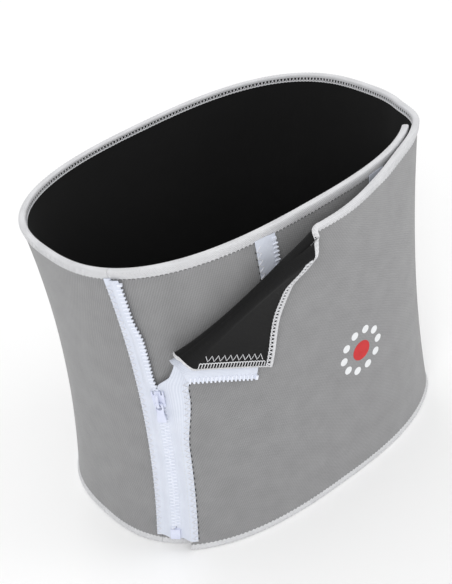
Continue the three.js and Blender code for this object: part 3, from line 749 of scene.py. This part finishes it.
TOOTH_PITCH = 3.6
CHAIN_BOTTOM = 23.7                   # the lowest tooth
FLAT_DEPTH = 5.2                      # of the teeth of a tape that isn't in use
# a size tape's middle as (s, d): raised to the chain on the first tape, flatter on the others
PROUD = [(-16, 4.1), (-12, 4.1), (-10.3, 4.3), (-5.5, CHAIN_DEPTH), (-3.5, CHAIN_DEPTH), (-0.3, CHAIN_DEPTH)]
FLAT = [(-16, 4.1), (-12, 4.1), (-7.5, 4.2), (-3.5, FLAT_DEPTH), (-0.3, FLAT_DEPTH)]
tooth_ring = np.array([(math.cos(a), math.sin(a)) for a in np.arange(8) * math.pi / 4 + math.pi / 8])
TOOTH_SHAPE = [                       # (reach past the zip line, half height, half depth)
    (-3.4, 0.1, 0.5), (-3.3, 0.8, 0.9), (-1.2, 0.8, 0.95), (-0.6, 0.7, 0.95), (0.1, 0.8, 1.05),
    (0.6, 0.78, 1.05), (0.85, 0.5, 0.8), (0.9, 0.05, 0.1)]


def teeth(sewing, place, side, heights, depth):
    """Moulded teeth: rounded blocks with a waist and a head, clasped on the tape's edge."""
    rings = len(TOOTH_SHAPE)
    for z0 in heights:
        stations = []
        for reach, tall, deep in TOOTH_SHAPE:
            corner = np.sign(tooth_ring) * np.abs(tooth_ring) ** 0.6
            s = np.full(8, -side * reach)
            stations.append(np.stack([s, z0 + 0.95 * tall * corner[:, 0], depth + deep * corner[:, 1]], -1))
        spots = np.concatenate(stations)
        grid = np.arange(rings * 8).reshape(rings, 8)
        beside = np.roll(grid, -1, axis=1)
        quads = np.stack([grid[:-1], beside[:-1], beside[1:], grid[1:]], -1).reshape(-1, 4)
        if side > 0:
            quads = quads[:, ::-1]
        points = place(spots[:, 0], spots[:, 1], spots[:, 2])
        sewing.take(points, quads, spots[:, :2], spots[:, :2])


tape_rows = np.linspace(TAPE_BOTTOM, HEIGHT - 6.4, 140)
for size in (1, 2, 3):
    on_line = on_zip((size - 1) * SIZE_STEP)
    line = PROUD if size == 1 else FLAT

    def place(s, z, d):
        return on_line(s + (parted(z) * smooth(s, -11, -6) if size == 1 else 0), z, d)

    strip = Sewing()
    s, z, d = tape_grid(line, tape_rows)
    strip.strip(place, s, z, d - TAPE_HALF, d + TAPE_HALF)
    on_wrap(f"size_tape_cloth_{size}", strip, tape, "tape", f"size_tape_{size}")
    stitches = Sewing()
    zigzag(stitches, place, -ZIGZAG[1], -ZIGZAG[0], 10, TAPE_TOP - 1, 4.5, ZIGZAG_PITCH, 0.28)
    on_wrap(f"size_tape_stitch_{size}", stitches, thread, "tape")
    pricks = Sewing()
    holes(pricks, place, -HOLES, 12, TAPE_TOP - 1, 3.7)
    on_wrap(f"size_tape_holes_{size}", pricks, lining, "lining")
    depth = CHAIN_DEPTH if size == 1 else FLAT_DEPTH
    row = Sewing()
    teeth(row, place, -1, np.arange(CHAIN_BOTTOM, TAPE_TOP - 3, TOOTH_PITCH), depth)
    on_wrap(f"size_tooth_row_{size}", row, teeth_plastic, "teeth", f"size_teeth_{size}")

# the flap's tape runs up from the box, through the slider and round the fold
FLAP_LINE = [(0.3, 0), (3.5, 0), (5.5, 0), (10.3, 3.9), (12, 4.1), (16, 4.1)]
LIFTED_LINE = [(0.3, 3.6), (3.5, 3.6), (5.5, 3.8), (10.3, 4.1), (12, 4.1), (16, 4.1)]


def flap_zip(s, z, d):
    """The flap's surface with the flat band that the closed zip lies on."""
    share = 1 - smooth(z, ROOM_TOP, ROOM_TOP + 14)
    moved = s + slackened(s, z)
    share = np.where(moved < 12, share, 0)[..., None]
    return flap(s, z, d) * (1 - share) + on_zip(0)(moved, z, d + OVERLAP_DEPTH) * share


def lift(z):
    """Above the slider the flap's tape comes up to the level of the cloth."""
    return smooth(z, ROOM_TOP, ROOM_TOP + 30)


FINE_ROWS = 164                       # the tape's rows are closer above this height
flap_rows = np.concatenate([
    np.arange(TAPE_BOTTOM, FINE_ROWS, 3), np.arange(FINE_ROWS, TAPE_TOP + 0.1, 1)])
s, z, low_d = tape_grid(FLAP_LINE, flap_rows)
high_d = tape_grid(LIFTED_LINE, flap_rows)[2]
curl = 0.6 * smooth(z, ROOM_TOP + 2, ROOM_TOP + 14) * (1 - smooth(z, 203, 212))
s = np.where(s < FLAP_EDGE, FLAP_EDGE - (FLAP_EDGE - s) * (1 - curl), s)
d = low_d + (high_d - low_d) * lift(z)
flap_strip = Sewing()
flap_strip.strip(flap_zip, s, z, d - TAPE_HALF, d + TAPE_HALF)
flap_strips = on_flap("flap_tape_cloth", flap_strip, tape)
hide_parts("flap_tape")
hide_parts("corner_tape")

flap_stitch = Sewing()
zigzag(flap_stitch, flap_zip, *ZIGZAG, 10, HEIGHT - 11, 4.5, ZIGZAG_PITCH, 0.28)
on_flap("flap_tape_stitch", flap_stitch, thread)
flap_pricks = Sewing()
holes(flap_pricks, flap_zip, HOLES, 12, HEIGHT - 12, 3.7)
on_flap("flap_tape_holes", flap_pricks, lining)
lining_stitch = Sewing()
for low, high in ((14, ROLL_BOTTOM - 2), (ROLL_TOP + 4, HEIGHT - 9)):
    zigzag(lining_stitch, flap, *LINING_SEAM, low, high, -0.15, LINING_PITCH, 0.26, -0.25)
on_flap("lining_zigzag", lining_stitch, thread)

flap_row = Sewing()


def flap_tooth_place(s, z, d):
    """Where the flap's teeth lie: above the slider they rise with their tape."""
    return flap_zip(s, z, d + 3.6 * lift(z))


low_teeth = np.arange(CHAIN_BOTTOM + TOOTH_PITCH / 2, ROOM_TOP - 4, TOOTH_PITCH)
high_teeth = np.arange(212, TAPE_TOP - 3, TOOTH_PITCH)
teeth(flap_row, flap_tooth_place, 1, np.concatenate([low_teeth, high_teeth]), 0)
flap_rows_made = on_flap("flap_tooth_row", flap_row, teeth_plastic)
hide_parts("flap_teeth")
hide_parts("corner_teeth")

# ---- Slider --------------------------------------------------------------------------

SLIDER_HEIGHT = 160
zip_middle = on_zip(0)
slider_at = zip_middle(0, SLIDER_HEIGHT, CHAIN_DEPTH)
up = zip_middle(0, SLIDER_HEIGHT + 8, CHAIN_DEPTH) - zip_middle(0, SLIDER_HEIGHT - 8, CHAIN_DEPTH)
up /= np.linalg.norm(up)
out = np.cross(zip_middle(3, SLIDER_HEIGHT, CHAIN_DEPTH) - zip_middle(-3, SLIDER_HEIGHT, CHAIN_DEPTH), up)
out /= np.linalg.norm(out)
slider_axes = np.stack([np.cross(up, out), up, out])


def in_slider(points):
    """Points given as side, up and out of the slider, in the row frame."""
    return np.asarray(points, float) @ slider_axes + slider_at


def slab(outline, low, high, hole=None, bevel=0.35):
    """A rounded plate of that outline, between two heights, with one hole if given."""
    mesh = bmesh.new()
    loops = [loop for loop in (outline, hole) if loop is not None]
    rings = []
    for height in (low, high):
        rings.append([[mesh.verts.new((x, y, height)) for x, y in loop] for loop in loops])
    count = len(outline)
    for i in range(count):
        j = (i + 1) % count
        mesh.faces.new([rings[0][0][i], rings[0][0][j], rings[1][0][j], rings[1][0][i]])
        if hole is not None:
            mesh.faces.new([rings[0][1][j], rings[0][1][i], rings[1][1][i], rings[1][1][j]])
            mesh.faces.new([rings[0][0][j], rings[0][0][i], rings[0][1][i], rings[0][1][j]])
            mesh.faces.new([rings[1][0][i], rings[1][0][j], rings[1][1][j], rings[1][1][i]])
    if hole is None:
        mesh.faces.new(rings[0][0][::-1])
        mesh.faces.new(rings[1][0])
    bmesh.ops.recalc_face_normals(mesh, faces=mesh.faces)
    sharp = [e for e in mesh.edges if len(e.link_faces) == 2 and e.calc_face_angle(0) > 1]
    bmesh.ops.bevel(mesh, geom=sharp, offset=bevel, segments=3, affect="EDGES", clamp_overlap=True)
    return mesh


def slider_piece(name, meshes, body, nodes):
    """Joins plates made in the slider's own frame into one enamelled object."""
    joined = bmesh.new()
    for mesh in meshes:
        copy = bpy.data.meshes.new("part")
        mesh.to_mesh(copy)
        joined.from_mesh(copy)
        bpy.data.meshes.remove(copy)
        mesh.free()
    joined.verts.index_update()
    points = np.array([v.co for v in joined.verts])
    faces = [[v.index for v in f.verts] for f in joined.faces]
    piece = build(name, in_slider(points), faces, [enamel], points[:, :2], crease=35)
    joined.free()
    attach(piece, body)
    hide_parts(*nodes)


CORNER_STEPS = 6                      # points round each rounded corner


def rounded(points, reach):
    """An outline whose corners are rounded with that reach along each side."""
    points = np.array(points, float)
    result = []
    for before, corner, after in zip(np.roll(points, 1, 0), points, np.roll(points, -1, 0)):
        sides = [before - corner, after - corner]
        cut = [min(reach, np.linalg.norm(v) * 0.49) for v in sides]
        a, b = [corner + v / np.linalg.norm(v) * c for v, c in zip(sides, cut)]
        for t in np.linspace(0, 1, CORNER_STEPS):
            result.append((1 - t) ** 2 * a + 2 * t * (1 - t) * corner + t * t * b)
    return [tuple(p) for p in result]


def oval(half_wide, low, high, steps):
    """A closed oval from low to high, with its points going round as an outline's do."""
    middle = (low + high) / 2
    tall = (high - low) / 2
    angles = np.arange(steps) / steps * 2 * math.pi
    return [(half_wide * math.cos(a), middle + tall * math.sin(a)) for a in angles]


# one side of the crown's outline, from the throat that lets the zip's half in to the foot
SHIELD_SIDE = [(-2.5, 7.9), (-2.5, 4.4), (-3.6, 4.4), (-3.6, 7.9), (-4.9, 7.9), (-4.9, 2),
               (-4.2, -7), (-2.8, -7.9)]
shield = rounded(SHIELD_SIDE + [(-x, y) for x, y in SHIELD_SIDE[::-1]], reach=0.8)
PLATE = (1.6, 2.7)                    # the crown's heights off the zip's middle
WALL = (0.9, 1.9)                     # and its side walls'


def walls(low, high):
    """The slider's two side walls, along the lower part of its plate."""
    return [slab(rounded([(x - 0.45, 1.5), (x - 0.45, -7.6), (x + 0.45, -7.6), (x + 0.45, 1.5)], reach=0.3),
                 low, high, bevel=0.15) for x in (-4.4, 4.4)]


def arch():
    """The bridge that the pull's eye hangs in, as a bent bar up and over the plate."""
    path = np.array([(-6.0, 2.2), (-6.0, 4.6), (-5.0, 5.9), (-3.0, 6.3), (0, 6.4), (3.0, 6.3),
                     (5.0, 5.7), (6.0, 4.2), (6.2, 2.2)])
    mesh = bmesh.new()
    along = np.gradient(path, axis=0)
    along /= np.linalg.norm(along, axis=1, keepdims=True)
    last = None
    for (y, z), (ty, tz) in zip(path, along):
        corners = []
        for a in np.arange(12) * math.pi / 6:
            x = 1.25 * math.cos(a)
            off = 0.62 * math.sin(a)
            corners.append(mesh.verts.new((x, y - tz * off, z + ty * off)))
        if last:
            for i in range(12):
                j = (i + 1) % 12
                mesh.faces.new([last[i], last[j], corners[j], corners[i]])
        last = corners
    bmesh.ops.recalc_face_normals(mesh, faces=mesh.faces)
    return mesh


plate = slab(shield, *PLATE)
post = slab(rounded([(-1.3, 7.7), (0, 3.2), (1.3, 7.7)], reach=0.6), -1.7, 1.8, bevel=0.2)
slider_piece("slider_crown", [plate, *walls(*WALL), post, arch()], "slider", ["slider_body"])
lower_plate = slab(shield, -PLATE[1], -PLATE[0])
lower_walls = walls(-WALL[1], -WALL[0])
slider_piece("slider_back_plate", [lower_plate, *lower_walls], "slider", ["slider_lower_plate"])

pull_outline = rounded([
    (3.2, -6), (3.2, -2.6), (-3.2, -2.6), (-3.2, -6), (-3.1, -9.6), (-2.7, -11.6), (-3.7, -20.8),
    (-3.2, -22), (3.2, -22), (3.7, -20.8), (2.7, -11.6), (3.1, -9.6)], reach=1.6)
hole = oval(2.25, -9.4, -3.7, len(pull_outline))
# the hole's points start beside the outline's first one, so that the ring's faces are short
first = min(range(len(hole)), key=lambda i: math.dist(hole[i], pull_outline[0]))
hole = hole[first:] + hole[:first]
pull_plate = slab(pull_outline, 3.3, 4.5, hole)
slider_piece("pull_plate", [pull_plate], "pull", ["pull_tab"])

# the small parts whose CAD shape is right keep it, and get the finish of moulded plastic
kept = [f"size_{part}_{k}" for part in ("top_stop", "pin") for k in (1, 2, 3)]
for node in [*kept, "corner_top_stop", "retainer_box"]:
    frame["nodes"][node].data.materials.clear()
    frame["nodes"][node].data.materials.append(enamel if node == "retainer_box" else teeth_plastic)

# ---- Printed motif -------------------------------------------------------------------

MOTIF = (168, 128)                    # (s, z) of its middle
DOTS = 10                             # small dots in a ring round one large dot
DOT_RADIUS = 3.6
RING_RADIUS = 19
MIDDLE_RADIUS = 9
PRINT = 0.12                          # thickness of the print on the jersey


def dot(sewing, s0, z0, radius):
    """A thin round print on the jersey."""
    turn = np.linspace(0, 2 * math.pi, 25)[:, None]
    grow = np.array([[0.02, 0.5, 1.0]])
    s = s0 + radius * grow * np.cos(turn)
    z = z0 + radius * grow * np.sin(turn)
    sewing.strip(flap, s, z, LAMINATE + 0.02, LAMINATE + PRINT)


petals = Sewing()
for k in range(DOTS):
    a = k * 2 * math.pi / DOTS
    dot(petals, MOTIF[0] + RING_RADIUS * math.cos(a), MOTIF[1] + RING_RADIUS * math.sin(a), DOT_RADIUS)
on_wrap("motif_dots", petals, pale_print, "jersey")
heart = Sewing()
dot(heart, *MOTIF, MIDDLE_RADIUS)
on_wrap("motif_middle", heart, red_print, "jersey")

# ---- Camera, light and floor ---------------------------------------------------------

AZIMUTH, ELEVATION, ROLL = [math.radians(a) for a in (-32, 34.2, -11)]
DISTANCE = 973
AIM = Vector((0, SHIFT[1], HEIGHT / 2))
LENS = 90.4
MOVED = (-8.2, 6.0)                   # how far the camera is moved to its own right and up

back = Vector((math.sin(AZIMUTH) * math.cos(ELEVATION),
               -math.cos(AZIMUTH) * math.cos(ELEVATION), math.sin(ELEVATION)))
right = (-back).cross(Vector((0, 0, 1))).normalized()
above = right.cross(-back)
camera_right = math.cos(ROLL) * right + math.sin(ROLL) * above
camera_up = math.cos(ROLL) * above - math.sin(ROLL) * right
camera = bpy.data.objects.new("camera", bpy.data.cameras.new("camera"))
bpy.context.scene.collection.objects.link(camera)
camera.data.lens = LENS
camera.data.sensor_width = 36
camera.data.sensor_fit = "HORIZONTAL"
camera.data.clip_end = 20
spot = (AIM + MOVED[0] * camera_right + MOVED[1] * camera_up + DISTANCE * back) * MM
axes = Matrix((camera_right, camera_up, back)).transposed().to_4x4()
camera.matrix_world = Matrix.Translation(spot) @ axes
bpy.context.scene.camera = camera


def lamp(name, place, size, power):
    """A soft square light that faces the belt."""
    light = bpy.data.lights.new(name, "AREA")
    light.size = size
    light.energy = power
    obj = bpy.data.objects.new(name, light)
    obj.location = place
    obj.rotation_euler = (Vector((0, 0, 0.14)) - Vector(place)).to_track_quat("-Z", "Y").to_euler()
    bpy.context.scene.collection.objects.link(obj)


lamp("key", (-1.5, -1.6, 1.7), 1.4, 30)
lamp("fill", (1.7, -1.2, 1.1), 1.6, 13)
lamp("rim", (0.4, 1.6, 1.7), 1.4, 11)

world = bpy.data.worlds.new("studio")
world.use_nodes = True
world.node_tree.nodes["Background"].inputs["Color"].default_value = (1, 1, 1, 1)
world.node_tree.nodes["Background"].inputs["Strength"].default_value = 0.7
bpy.context.scene.world = world
bpy.context.scene.view_settings.view_transform = "Standard"

FLOOR = 6                             # metres from the belt to each side of the floor
floor_mesh = bpy.data.meshes.new("floor")
floor_corners = [(x * FLOOR, y * FLOOR, -0.001) for x, y in ((-1, -1), (1, -1), (1, 1), (-1, 1))]
floor_mesh.from_pydata(floor_corners, [], [(0, 1, 2, 3)])
floor = bpy.data.objects.new("floor", floor_mesh)
floor_look = Nodes("pale_floor", 0.9)
floor_look.blend(floor_look.noise(3, 2), colour(246, 246, 246), colour(252, 252, 252))
floor_mesh.materials.append(floor_look.material)
bpy.context.scene.collection.objects.link(floor)
